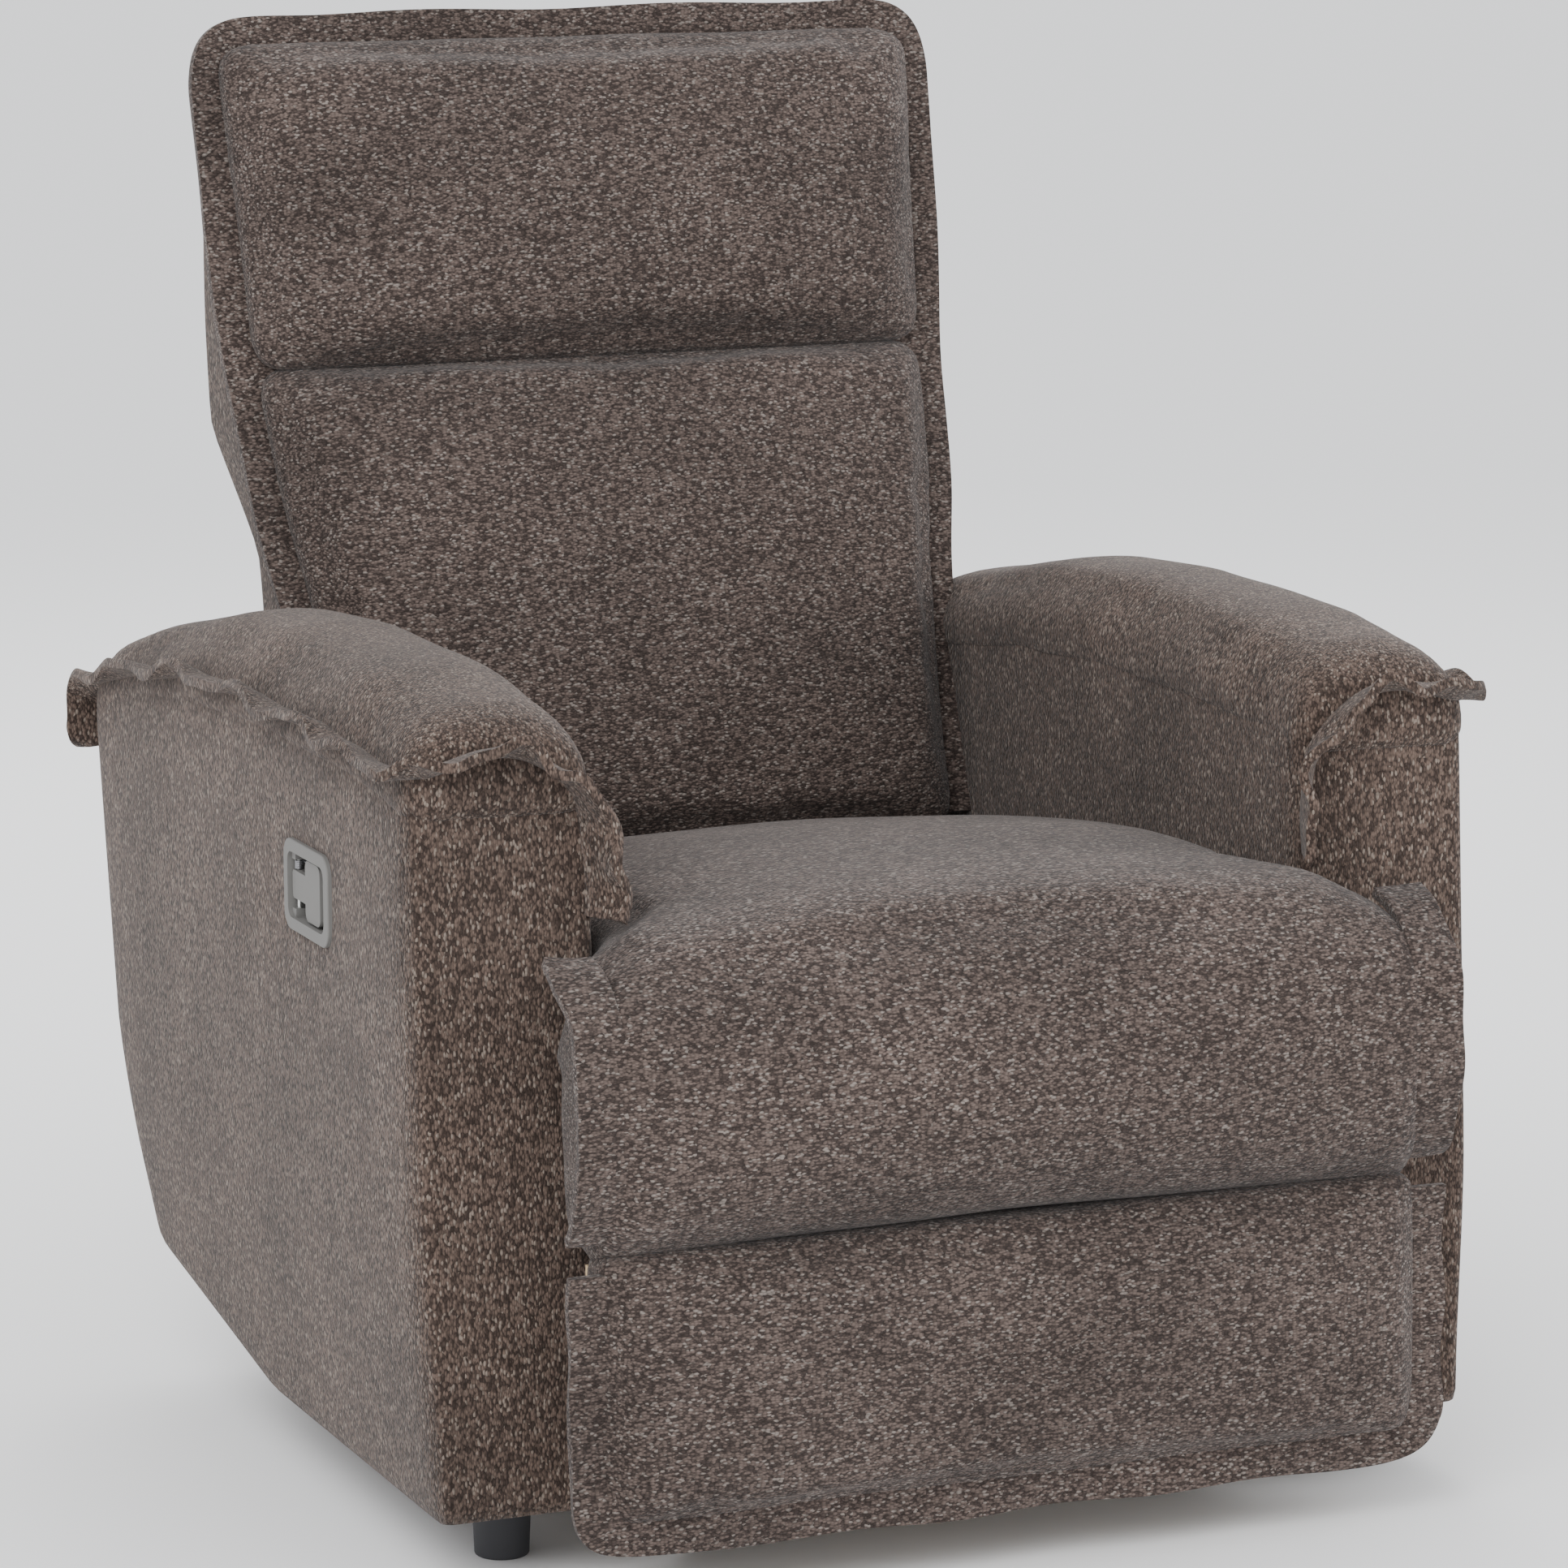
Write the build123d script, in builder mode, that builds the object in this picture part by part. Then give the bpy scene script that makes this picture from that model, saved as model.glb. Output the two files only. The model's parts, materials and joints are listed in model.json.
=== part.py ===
"""Manual recliner armchair with a fold-out footrest, in millimetres, +Z up.

The chair stands on Z = 0 and faces -Y.  The origin is on the floor, under the middle of the chair.
"Left" and "right" are the sitter's: left is +X, and the release handle is on the right arm, at -X.
Each piece is one node: single solids, or a group of like solids such as bolts.
"""
import math
import os

from build123d import *

os.makedirs("parts", exist_ok=True)

# ---- driving dimensions ----------------------------------------------------------------------
SIDES = (("left", 1), ("right", -1))

ARM_OUTER = 398          # half width to the outer face of an arm
ARM_FLANGE = 412         # half width to the edge of the pad's sewn flange
ARM_INNER = 264          # half width between the arms
ARM_WALL = 14            # foam and fabric on the arm boards
ARM_FLOOR_GAP = 50       # underside of the arms above the floor
BOARD = 12               # plywood of the arm boards

SEAT_HALF = 256          # half width of the seat between the arms
ROLL_HALF = 328          # half width of the seat's front roll and of the footrest
FRONT = -475             # foremost point of the front roll
REAR = 475               # rearmost point of the back casing
ROLL_BACK = -357         # rear face of the front roll, just in front of the arms
SPLIT_Z = 249            # gap between the front roll and the footrest
SEAT_BASE = 352          # underside of the seat cushion

FOOT_RADIUS = 22
SCREW_DEPTH = 45         # thread of a foot screw inside its foot
CABLE_R = 2.5            # release cable

BACK_TOP = 1015          # top of the headrest pad
CASING_TOP = 899         # top of the back casing
HEAD_SEAM = 752          # seam between the lumbar pad and the headrest pad
RECLINE_Y = 250          # back pivot
RECLINE_Z = 320

PLATE = 4                # mechanism side plates
LINK = 3                 # footrest links
LINK_RADIUS = 10         # rounded link ends
RIVET_R = 4
RUNNING_GAP = 0.06       # radial clearance of a rivet in the link that turns on it
LAYER_OUTER = 237.5      # inner faces of the three link layers
LAYER_MIDDLE = 233.0
LAYER_INNER = 228.5
CARRIAGE_X = 242         # inner face of the sliding side plates
BASE_X = 253             # inner face of the fixed side plates

# Footrest linkage, worked in the plane of the sides: u is forward (-Y), z is up.
PIVOT_U, PIVOT_Z = 262, 208       # drive link pivot on the carriage
DRIVE_LENGTH = 165                # drive link, pivot to pivot
DRIVE_CROSS = 130                 # pivot of the front link along the drive link
SWING_LENGTH = 152                # both swing links, pivot to pivot
CARRY_LENGTH = 190                # carry link, swing pivot to footrest pivot
DRIVE_REST = math.radians(-78)    # slope of the drive and carry links, closed
SWING_REST = math.radians(80)     # slope of the swing links, closed


def along(point, angle, length):
    """Point a given length away in the (u, z) plane."""
    return (point[0] + length * math.cos(angle), point[1] + length * math.sin(angle))


PIVOT = (PIVOT_U, PIVOT_Z)
CROSS = along(PIVOT, DRIVE_REST, DRIVE_CROSS)
DRIVE_END = along(PIVOT, DRIVE_REST, DRIVE_LENGTH)
SWING_END = along(CROSS, SWING_REST, SWING_LENGTH)
CARRY_CROSS = along(DRIVE_END, SWING_REST, SWING_LENGTH)
FOOT_PIVOT = along(SWING_END, DRIVE_REST, CARRY_LENGTH)
CROSS_BAR = along(PIVOT, DRIVE_REST, 60)


def slab(side, x_near, thickness):
    """Plane of a side piece, facing away from the middle, and the signed thickness to extrude."""
    return Plane.YZ.offset(side * x_near), side * thickness


def rod_x(radius, x_start, length, y, z):
    """Cylinder along X from x_start, for use inside a part block."""
    with Locations(Location((x_start + length / 2, y, z), (0, 90, 0))):
        Cylinder(radius, abs(length))


def block(x0, x1, y0, y1, z0, z1):
    """Box between two corners, for use inside a part block."""
    with Locations(((x0 + x1) / 2, (y0 + y1) / 2, (z0 + z1) / 2)):
        Box(abs(x1 - x0), abs(y1 - y0), abs(z1 - z0))


def save(piece, name):
    """Label a finished piece and write it."""
    piece.part.label = name
    export_step(piece.part, f"parts/{name}.step")


# ---- arms ------------------------------------------------------------------------------------
# Outline of an arm seen from the side, as (y, z): raked front, underside rising to the rear.
ARM_BOTTOM = [(-358, ARM_FLOOR_GAP), (20, ARM_FLOOR_GAP), (296, 98)]
ARM_REAR = [(334, 170), (371, 258), (394, 382), (416, 494)]
ARM_TOP = [(369, 518), (269, 538), (146, 556), (0, 561), (-200, 563), (-328, 550)]
# Crown of the arm pad above the same stations, and the pad's rear end.
PAD_STATIONS = [(416, 494, 520), (369, 518, 549), (269, 538, 573), (146, 556, 595),
                (0, 561, 606), (-200, 563, 606), (-328, 550, 592)]
LEVER_Y, LEVER_Z = -125, 446      # middle of the handle plate
LEVER_W, LEVER_H = 97, 65         # handle plate along Y and Z
POCKET_W, POCKET_H = 84, 52       # its pocket, through the arm's outer skin
FOOT_PLACES = [(314, -268, 68), (-314, -268, 68), (235, 192, 90), (-235, 192, 90)]  # x, y, top
STRETCHER_Y = {"front": (-242, -218), "rear": (180, 204)}
STRETCHER_Z = {"front": (62, 122), "rear": (90, 139)}
BASE_BOLT_Y = (-205, -60, 90, 190)
BASE_BOLT_Z = 165
CABLE_Y, CABLE_Z = -254, 150      # where the release cable crosses to the seat side


def arm_outline(inset):
    """Closed arm outline as a face in the current sketch, drawn in by an inset."""
    Polygon(*ARM_BOTTOM, *ARM_REAR, *ARM_TOP, align=None)
    if inset:
        offset(amount=-inset, kind=Kind.INTERSECTION, mode=Mode.REPLACE)


def hole_x(radius, y, z, x_near, x_far):
    """Round hole along X between two distances from the middle, for use inside a part block."""
    start = min(x_near, x_far)
    with Locations(Location((start + abs(x_far - x_near) / 2, y, z), (0, 90, 0))):
        Cylinder(radius, abs(x_far - x_near), mode=Mode.SUBTRACT)


for side_name, side in SIDES:
    plane, width = slab(side, ARM_INNER, ARM_OUTER - ARM_INNER)
    with BuildPart() as arm_cover:
        with BuildSketch(plane):
            arm_outline(0)
        extrude(amount=width)
        with BuildSketch(slab(side, ARM_INNER + ARM_WALL, 0)[0]):
            arm_outline(ARM_WALL)
        extrude(amount=side * (ARM_OUTER - ARM_INNER - 2 * ARM_WALL), mode=Mode.SUBTRACT)
        with Locations((side * (ARM_INNER + ARM_OUTER) / 2, -165, ARM_FLOOR_GAP)):
            Box(ARM_OUTER - ARM_INNER - 2 * ARM_WALL, 350, 4 * ARM_WALL, mode=Mode.SUBTRACT)
        for bolt_y in BASE_BOLT_Y:
            hole_x(RIVET_R + 0.2, bolt_y, BASE_BOLT_Z, side * 260, side * 280)
        if side < 0:
            with Locations((-ARM_OUTER, LEVER_Y, LEVER_Z)):
                Box(60, POCKET_W, POCKET_H, mode=Mode.SUBTRACT)
            hole_x(CABLE_R + 1, CABLE_Y, CABLE_Z, -260, -280)
        for rail in ("front", "rear"):
            rail_y, rail_z = STRETCHER_Y[rail], STRETCHER_Z[rail]
            with Locations((side * ARM_INNER, sum(rail_y) / 2, sum(rail_z) / 2)):
                Box(30, rail_y[1] - rail_y[0] + 1, rail_z[1] - rail_z[0] + 1, mode=Mode.SUBTRACT)
    save(arm_cover, f"arm_cover_{side_name}")

    with BuildPart() as arm_pad:
        for station_y, seam_z, crown_z in PAD_STATIONS:
            with BuildSketch(Plane.XZ.offset(-station_y)):
                with BuildLine():
                    outer = (side * ARM_FLANGE, seam_z + 0.3)
                    inner = (side * (ARM_INNER + 1), seam_z + 0.3)
                    ThreePointArc(outer, (side * 332, crown_z), inner)
                    Line(inner, outer)
                make_face()
        loft(ruled=True)
    save(arm_pad, f"arm_pad_{side_name}")

    for board_name, board_x in (("inner", ARM_INNER + ARM_WALL + 1), ("outer", ARM_OUTER - ARM_WALL - BOARD - 1)):
        with BuildPart() as arm_board:
            with BuildSketch(slab(side, board_x, 0)[0]):
                arm_outline(ARM_WALL + 2)
            extrude(amount=side * BOARD)
            with BuildSketch(slab(side, board_x, 0)[0]):
                with Locations((-150, 250), (120, 260)):
                    RectangleRounded(150, 150, 30)
            extrude(amount=side * BOARD, mode=Mode.SUBTRACT)
            if board_name == "inner":
                for bolt_y in BASE_BOLT_Y:
                    hole_x(RIVET_R + 0.2, bolt_y, BASE_BOLT_Z, side * board_x, side * (board_x + BOARD))
                if side < 0:
                    hole_x(CABLE_R + 1, CABLE_Y, CABLE_Z, -board_x, -board_x - BOARD)
            elif side < 0:
                with Locations((-board_x, LEVER_Y, LEVER_Z)):
                    Box(60, POCKET_W, POCKET_H, mode=Mode.SUBTRACT)
        save(arm_board, f"arm_{board_name}_board_{side_name}")

    with BuildPart() as arm_blocks:
        near, far = side * (ARM_INNER + ARM_WALL + 1 + BOARD), side * (ARM_OUTER - ARM_WALL - BOARD - 1)
        block(near, far, -308, -278, 110, 513)
        block(near, far, 255, 285, 140, 500)
        block(near, far, -278, 255, 495, 513)
        foot_x, foot_y, foot_top = FOOT_PLACES[0]
        block(near, far, foot_y - 24, foot_y + 24, foot_top, foot_top + 30)
        with Locations((side * foot_x, foot_y, foot_top)):
            Cylinder(3.2, 70, mode=Mode.SUBTRACT)
    save(arm_blocks, f"arm_blocks_{side_name}")

# ---- base ------------------------------------------------------------------------------------
with BuildPart() as feet:
    for foot_x, foot_y, foot_top in FOOT_PLACES:
        with Locations((foot_x, foot_y, 0)):
            Cone(FOOT_RADIUS - 3, FOOT_RADIUS, foot_top, align=(Align.CENTER, Align.CENTER, Align.MIN))
        with Locations((foot_x, foot_y, foot_top)):
            Cylinder(3.2, 2 * SCREW_DEPTH + 2, mode=Mode.SUBTRACT)
    fillet(feet.faces().group_by(Axis.Z)[0].edges(), 2)
save(feet, "feet")

with BuildPart() as foot_screws:
    for foot_x, foot_y, foot_top in FOOT_PLACES:
        with Locations((foot_x, foot_y, foot_top - SCREW_DEPTH)):
            Cylinder(3, SCREW_DEPTH + 28, align=(Align.CENTER, Align.CENTER, Align.MIN))
save(foot_screws, "foot_screws")

for rail in ("front", "rear"):
    with BuildPart() as stretcher:
        block(-ARM_INNER - ARM_WALL, ARM_INNER + ARM_WALL, *STRETCHER_Y[rail], *STRETCHER_Z[rail])
        fillet(stretcher.edges().filter_by(Axis.X), 3)
        if rail == "rear":
            for foot_x, foot_y, foot_top in FOOT_PLACES[2:]:
                with Locations((foot_x, foot_y, foot_top)):
                    Cylinder(3.2, 64, mode=Mode.SUBTRACT)
    save(stretcher, f"{rail}_stretcher")

with BuildPart() as stretcher_bolts:
    for rail in ("front", "rear"):
        for side_name, side in SIDES:
            for bolt_z in (STRETCHER_Z[rail][0] + 15, STRETCHER_Z[rail][1] - 15):
                start = ARM_INNER + ARM_WALL + 1 + BOARD
                rod_x(9, side * start if side > 0 else -start - 5, 5, sum(STRETCHER_Y[rail]) / 2, bolt_z)
save(stretcher_bolts, "stretcher_bolts")

with BuildPart() as rear_valance:
    with BuildSketch(Plane.YZ.offset(-ARM_INNER + 1)):
        with BuildLine():
            Polyline((288, 100), (301, 100), (337, 172), (376, 268), (376, 282),
                     (365, 282), (324, 174), close=True)
        make_face()
    extrude(amount=2 * (ARM_INNER - 1))
save(rear_valance, "rear_valance")

# Fixed side plates: a flat plate with two inward lips that the glides run between.
LIP_LOW, LIP_HIGH = 194, 228
for side_name, side in SIDES:
    with BuildPart() as base_plate:
        block(side * BASE_X, side * (BASE_X + PLATE), -240, 232, 140, LIP_HIGH + PLATE)
        block(side * (BASE_X - 4.5), side * BASE_X, -240, 232, LIP_LOW, LIP_LOW + PLATE)
        block(side * (BASE_X - 4.5), side * BASE_X, -240, 232, LIP_HIGH, LIP_HIGH + PLATE)
        for bolt_y in BASE_BOLT_Y:
            hole_x(RIVET_R + 0.2, bolt_y, BASE_BOLT_Z, side * BASE_X, side * (BASE_X + PLATE))
    save(base_plate, f"base_plate_{side_name}")

with BuildPart() as base_spacers:
    for side_name, side in SIDES:
        for bolt_y in BASE_BOLT_Y:
            start = BASE_X + PLATE if side > 0 else -ARM_INNER
            rod_x(12, start, ARM_INNER - BASE_X - PLATE, bolt_y, BASE_BOLT_Z)
            hole_x(RIVET_R + 0.2, bolt_y, BASE_BOLT_Z, side * (BASE_X + PLATE), side * ARM_INNER)
save(base_spacers, "base_spacers")

with BuildPart() as base_bolts:
    for side_name, side in SIDES:
        for bolt_y in BASE_BOLT_Y:
            shank_end = ARM_INNER + ARM_WALL + 1 + BOARD
            rod_x(RIVET_R, BASE_X if side > 0 else -shank_end, shank_end - BASE_X, bolt_y, BASE_BOLT_Z)
            rod_x(8, BASE_X - 5 if side > 0 else -BASE_X, 5, bolt_y, BASE_BOLT_Z)
save(base_bolts, "base_bolts")

# ---- seat carriage ---------------------------------------------------------------------------
RAIL_LOW, RAIL_HIGH = 302, 338    # wooden seat rails
for side_name, side in SIDES:
    with BuildPart() as carriage_plate:
        with BuildSketch(slab(side, CARRIAGE_X, 0)[0]):
            with BuildLine():
                Polyline((-280, 200), (-280, 236), (-215, 336), (180, 336), (236, 344), (264, 344),
                         (270, 308), (205, 225), (150, 190), (-245, 190), close=True)
            make_face()
            with Locations((-PIVOT_U, PIVOT_Z)):
                Circle(RIVET_R + RUNNING_GAP, mode=Mode.SUBTRACT)
            with Locations((RECLINE_Y, RECLINE_Z)):
                Circle(5 + RUNNING_GAP, mode=Mode.SUBTRACT)
            with Locations((-110, 268), (60, 268)):
                RectangleRounded(88, 36, 12, mode=Mode.SUBTRACT)
        extrude(amount=side * PLATE)
    save(carriage_plate, f"carriage_plate_{side_name}")

with BuildPart() as glides:
    for side_name, side in SIDES:
        for glide_y in (-150, 20, 150):
            near = CARRIAGE_X + PLATE
            block(side * near, side * (BASE_X - 0.4), glide_y - 22, glide_y + 22,
                  LIP_LOW + PLATE + 0.4, LIP_HIGH - 0.4)
save(glides, "slide_glides")

with BuildPart() as side_rails:
    for side_name, side in SIDES:
        block(side * 202, side * CARRIAGE_X, -324, 190, RAIL_LOW, RAIL_HIGH)
save(side_rails, "seat_side_rails")

with BuildPart() as front_rail:
    block(-CARRIAGE_X + 1, CARRIAGE_X - 1, -349, -324, 264, RAIL_HIGH)
save(front_rail, "seat_front_rail")

with BuildPart() as rear_rail:
    block(-202, 202, 165, 190, RAIL_LOW, RAIL_HIGH)
save(rear_rail, "seat_rear_rail")

WIRE_R = 1.9


def wire_spring(points, bend, start_direction):
    """Round wire bent through points, swept in one piece, for use inside a part block."""
    with BuildLine() as route:
        FilletPolyline(*points, radius=bend)
    with BuildSketch(Plane(origin=points[0], z_dir=start_direction)) as section:
        Circle(WIRE_R)
    sweep(sections=section.sketch, path=route.wires()[0])


with BuildPart() as seat_springs:
    for spring_x in (-160, -80, 0, 80, 160):
        steps = 15
        pitch = (165 + 324) / steps
        points = [(spring_x, -326, RAIL_HIGH + 5)]
        for step in range(steps):
            reach = 24 if step % 2 else -24
            points.append((spring_x + reach, -324 + pitch * step + 4, RAIL_HIGH + 5))
            points.append((spring_x + reach, -324 + pitch * (step + 1) - 4, RAIL_HIGH + 5))
        points.append((spring_x, 167, RAIL_HIGH + 5))
        wire_spring(points, 7, Vector(*points[1]) - Vector(*points[0]))
save(seat_springs, "seat_springs")

with BuildPart() as spring_clips:
    for spring_x in (-160, -80, 0, 80, 160):
        for clip_y in (-337, 178):
            block(spring_x - 8, spring_x + 8, clip_y - 9, clip_y + 9, RAIL_HIGH, RAIL_HIGH + 3)
save(spring_clips, "seat_spring_clips")

with BuildPart() as seat_cushion:
    with BuildSketch(Plane.YZ.offset(-SEAT_HALF)):
        with BuildLine():
            Polyline((-360, SEAT_BASE), (212, SEAT_BASE), (212, 384))
            ThreePointArc((212, 384), (-40, 434), (-300, 458))
            Polyline((-300, 458), (-360, 458), (-360, SEAT_BASE))
        make_face()
    extrude(amount=2 * SEAT_HALF)
    with BuildSketch(Plane.YZ.offset(-ROLL_HALF)):
        with BuildLine():
            Polyline((ROLL_BACK, 452), (ROLL_BACK, SPLIT_Z + 4), (-420, SPLIT_Z + 4))
            ThreePointArc((-420, SPLIT_Z + 4), (FRONT, 345), (-420, 446))
            Line((-420, 446), (ROLL_BACK, 452))
        make_face()
    extrude(amount=2 * ROLL_HALF)
save(seat_cushion, "seat_cushion")

# ---- footrest linkage ------------------------------------------------------------------------
def link(start, end, x_near, holes, side):
    """Flat bar with round ends between two (u, z) points, with holes, for use inside a part block."""
    with BuildSketch(slab(side, x_near, 0)[0]) as outline:
        with Locations(Location(((-start[0] - end[0]) / 2, (start[1] + end[1]) / 2),
                                math.degrees(math.atan2(end[1] - start[1], start[0] - end[0])))):
            SlotCenterToCenter(math.dist(start, end), 2 * LINK_RADIUS)
        for point, radius in holes:
            with Locations((-point[0], point[1])):
                Circle(radius, mode=Mode.SUBTRACT)
    extrude(outline.sketch, amount=side * LINK)


def pin_x(side, point, radius, x_near, x_far):
    """Round pin on both given distances from the middle at a (u, z) point, inside a part block."""
    rod_x(radius, min(side * x_near, side * x_far), abs(x_far - x_near), -point[0], point[1])


TURNING = RIVET_R + RUNNING_GAP
HEAD = 2.0                # thickness and extra radius of a rivet head
THIN_HEAD = 0.8           # head that another link passes over
with BuildPart() as drive_links:
    for side_name, side in SIDES:
        link(PIVOT, DRIVE_END, LAYER_MIDDLE, [(CROSS, RIVET_R), (DRIVE_END, TURNING)], side)
save(drive_links, "drive_links")

with BuildPart() as drive_pivots:
    for side_name, side in SIDES:
        pin_x(side, PIVOT, RIVET_R, LAYER_MIDDLE + LINK, CARRIAGE_X + PLATE + 0.2)
        pin_x(side, PIVOT, RIVET_R + 3, LAYER_MIDDLE + LINK, CARRIAGE_X - 0.4)
        pin_x(side, PIVOT, RIVET_R + HEAD, CARRIAGE_X + PLATE + 0.2, CARRIAGE_X + PLATE + 2.2)
        pin_x(side, CROSS, RIVET_R, LAYER_INNER - 0.2, LAYER_MIDDLE + LINK)
        pin_x(side, CROSS, RIVET_R + HEAD, LAYER_INNER - 0.2 - HEAD, LAYER_INNER - 0.2)
save(drive_pivots, "drive_rivets")

with BuildPart() as drive_tube:
    with BuildSketch(Plane.YZ.offset(-LAYER_MIDDLE)):
        with Locations((-PIVOT_U, PIVOT_Z)):
            Rectangle(16, 16)
            offset(amount=-1.5, mode=Mode.SUBTRACT)
    extrude(amount=2 * LAYER_MIDDLE)
save(drive_tube, "drive_tube")

with BuildPart() as cross_bar:
    pin_x(1, CROSS_BAR, 6, -LAYER_MIDDLE, LAYER_MIDDLE)
save(cross_bar, "drive_cross_bar")

with BuildPart() as swing_links:
    for side_name, side in SIDES:
        link(CROSS, SWING_END, LAYER_INNER, [(CROSS, TURNING), (SWING_END, TURNING)], side)
save(swing_links, "swing_links")

with BuildPart() as stay_links:
    for side_name, side in SIDES:
        link(DRIVE_END, CARRY_CROSS, LAYER_OUTER, [(DRIVE_END, RIVET_R), (CARRY_CROSS, TURNING)], side)
save(stay_links, "stay_links")

with BuildPart() as stay_rivets:
    for side_name, side in SIDES:
        pin_x(side, DRIVE_END, RIVET_R, LAYER_MIDDLE - 0.2, LAYER_OUTER + LINK)
        pin_x(side, DRIVE_END, RIVET_R + HEAD, LAYER_MIDDLE - 0.2 - THIN_HEAD, LAYER_MIDDLE - 0.2)
save(stay_rivets, "stay_rivets")

with BuildPart() as carry_links:
    for side_name, side in SIDES:
        holes = [(SWING_END, RIVET_R), (CARRY_CROSS, RIVET_R), (FOOT_PIVOT, RIVET_R)]
        link(SWING_END, FOOT_PIVOT, LAYER_MIDDLE, holes, side)
save(carry_links, "carry_links")

with BuildPart() as carry_rivets:
    for side_name, side in SIDES:
        for point in (SWING_END, FOOT_PIVOT):
            pin_x(side, point, RIVET_R, LAYER_INNER - 0.2, LAYER_MIDDLE + LINK)
            pin_x(side, point, RIVET_R + HEAD, LAYER_INNER - 0.2 - HEAD, LAYER_INNER - 0.2)
        pin_x(side, CARRY_CROSS, RIVET_R, LAYER_MIDDLE, LAYER_OUTER + LINK + 0.2)
save(carry_rivets, "carry_rivets")

# ---- footrest --------------------------------------------------------------------------------
BOARD_U = 400             # rear face of the footrest board
with BuildPart() as brackets:
    for side_name, side in SIDES:
        foot_u, foot_z = FOOT_PIVOT
        with BuildSketch(slab(side, LAYER_INNER, 0)[0]) as outline:
            Polygon((-foot_u + 10, foot_z - 4), (-foot_u + 6, foot_z + 10), (-BOARD_U + 12, foot_z + 130),
                    (-BOARD_U, foot_z + 130), (-BOARD_U, foot_z + 4), (-foot_u, foot_z - 11), align=None)
            with Locations((-foot_u, foot_z)):
                Circle(LINK_RADIUS)
                Circle(TURNING, mode=Mode.SUBTRACT)
        extrude(outline.sketch, amount=side * LINK)
        block(side * (LAYER_INNER - 22), side * (LAYER_INNER + LINK), -BOARD_U, -BOARD_U + LINK,
              foot_z + 6, foot_z + 130)
save(brackets, "footrest_brackets")

with BuildPart() as footrest_board:
    block(-300, 300, -BOARD_U - 15, -BOARD_U, 54, 236)
save(footrest_board, "footrest_board")

with BuildPart() as footrest_screws:
    for side_name, side in SIDES:
        for screw_z in (80, 120, 160):
            with Locations(Location((side * (LAYER_INNER - 12), -BOARD_U + LINK, screw_z), (90, 0, 0))):
                Cylinder(4.5, 2.4, align=(Align.CENTER, Align.CENTER, Align.MAX))
save(footrest_screws, "footrest_screws")

with BuildPart() as footrest_pad:
    with BuildSketch(Plane.YZ.offset(-ROLL_HALF)):
        with BuildLine():
            Polyline((-402, 44), (-402, SPLIT_Z - 10), (-424, SPLIT_Z - 10))
            ThreePointArc((-424, SPLIT_Z - 10), (-468, 148), (-436, 44))
            Line((-436, 44), (-402, 44))
        make_face()
    extrude(amount=2 * ROLL_HALF)
    with Locations((0, -BOARD_U - 5.5, 145)):
        Box(601, 19.4, 183, mode=Mode.SUBTRACT)
save(footrest_pad, "footrest_pad")

# ---- back ------------------------------------------------------------------------------------
LOW_HALF = 253            # casing half width between the arms
HIGH_HALF = 284           # and above them
WIDEN_Z = (600, 690)      # where it widens


def back_front_view(low, high):
    """Front outline of the back as a face in the current sketch, wider above the arms."""
    Polygon((-low, 260), (low, 260), (low, WIDEN_Z[0]), (high, WIDEN_Z[1]), (high, 1100),
            (-high, 1100), (-high, WIDEN_Z[1]), (-low, WIDEN_Z[0]), align=None)


CASING_FRONT = [(284, 290), (385, 745), (432, CASING_TOP)]
CASING_REAR = [(REAR, CASING_TOP), (REAR, 776), (468, 682), (441, 548), (356, 277)]
with BuildPart() as back_casing:
    with BuildSketch(Plane.YZ.offset(-HIGH_HALF)):
        Polygon(*CASING_FRONT, *CASING_REAR, align=None)
    extrude(amount=2 * HIGH_HALF)
    with BuildSketch(Plane.XZ.offset(-REAR - 10)):
        back_front_view(LOW_HALF, HIGH_HALF)
    extrude(amount=300, mode=Mode.INTERSECT)
    with BuildPart(mode=Mode.PRIVATE) as hollow:
        with BuildSketch(Plane.YZ.offset(-HIGH_HALF + 5)):
            Polygon((274, 284), (377, 750), (425, CASING_TOP - 6), (REAR - 6, CASING_TOP - 6),
                    (REAR - 6, 777), (462, 683), (435, 550), (352, 283), align=None)
        extrude(amount=2 * HIGH_HALF - 10)
        with BuildSketch(Plane.XZ.offset(-REAR - 10)):
            back_front_view(LOW_HALF - 5, HIGH_HALF - 5)
        extrude(amount=300, mode=Mode.INTERSECT)
    add(hollow.part, mode=Mode.SUBTRACT)
save(back_casing, "back_casing")

STILE_FOOT, STILE_TOP = (318, 300), (448, 885)
STILE_LEAN = math.degrees(math.atan2(STILE_TOP[0] - STILE_FOOT[0], STILE_TOP[1] - STILE_FOOT[1]))
STILE_LENGTH = math.dist(STILE_FOOT, STILE_TOP)
STILE_X = (208, 236)
BACK_PLANE = Plane(origin=(0, STILE_FOOT[0], STILE_FOOT[1]), x_dir=(1, 0, 0),
                   z_dir=(0, math.sin(math.radians(STILE_LEAN)), math.cos(math.radians(STILE_LEAN))))


def back_block(x0, x1, depth0, depth1, up0, up1):
    """Box in the leaning frame of the back: across, rearward and up along the stiles."""
    with Locations(BACK_PLANE):
        with Locations(((x0 + x1) / 2, (depth0 + depth1) / 2, (up0 + up1) / 2)):
            Box(abs(x1 - x0), depth1 - depth0, up1 - up0)


with BuildPart() as back_stiles:
    for side_name, side in SIDES:
        back_block(side * STILE_X[0], side * STILE_X[1], -16, 16, 0, STILE_LENGTH)
save(back_stiles, "back_stiles")

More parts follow.
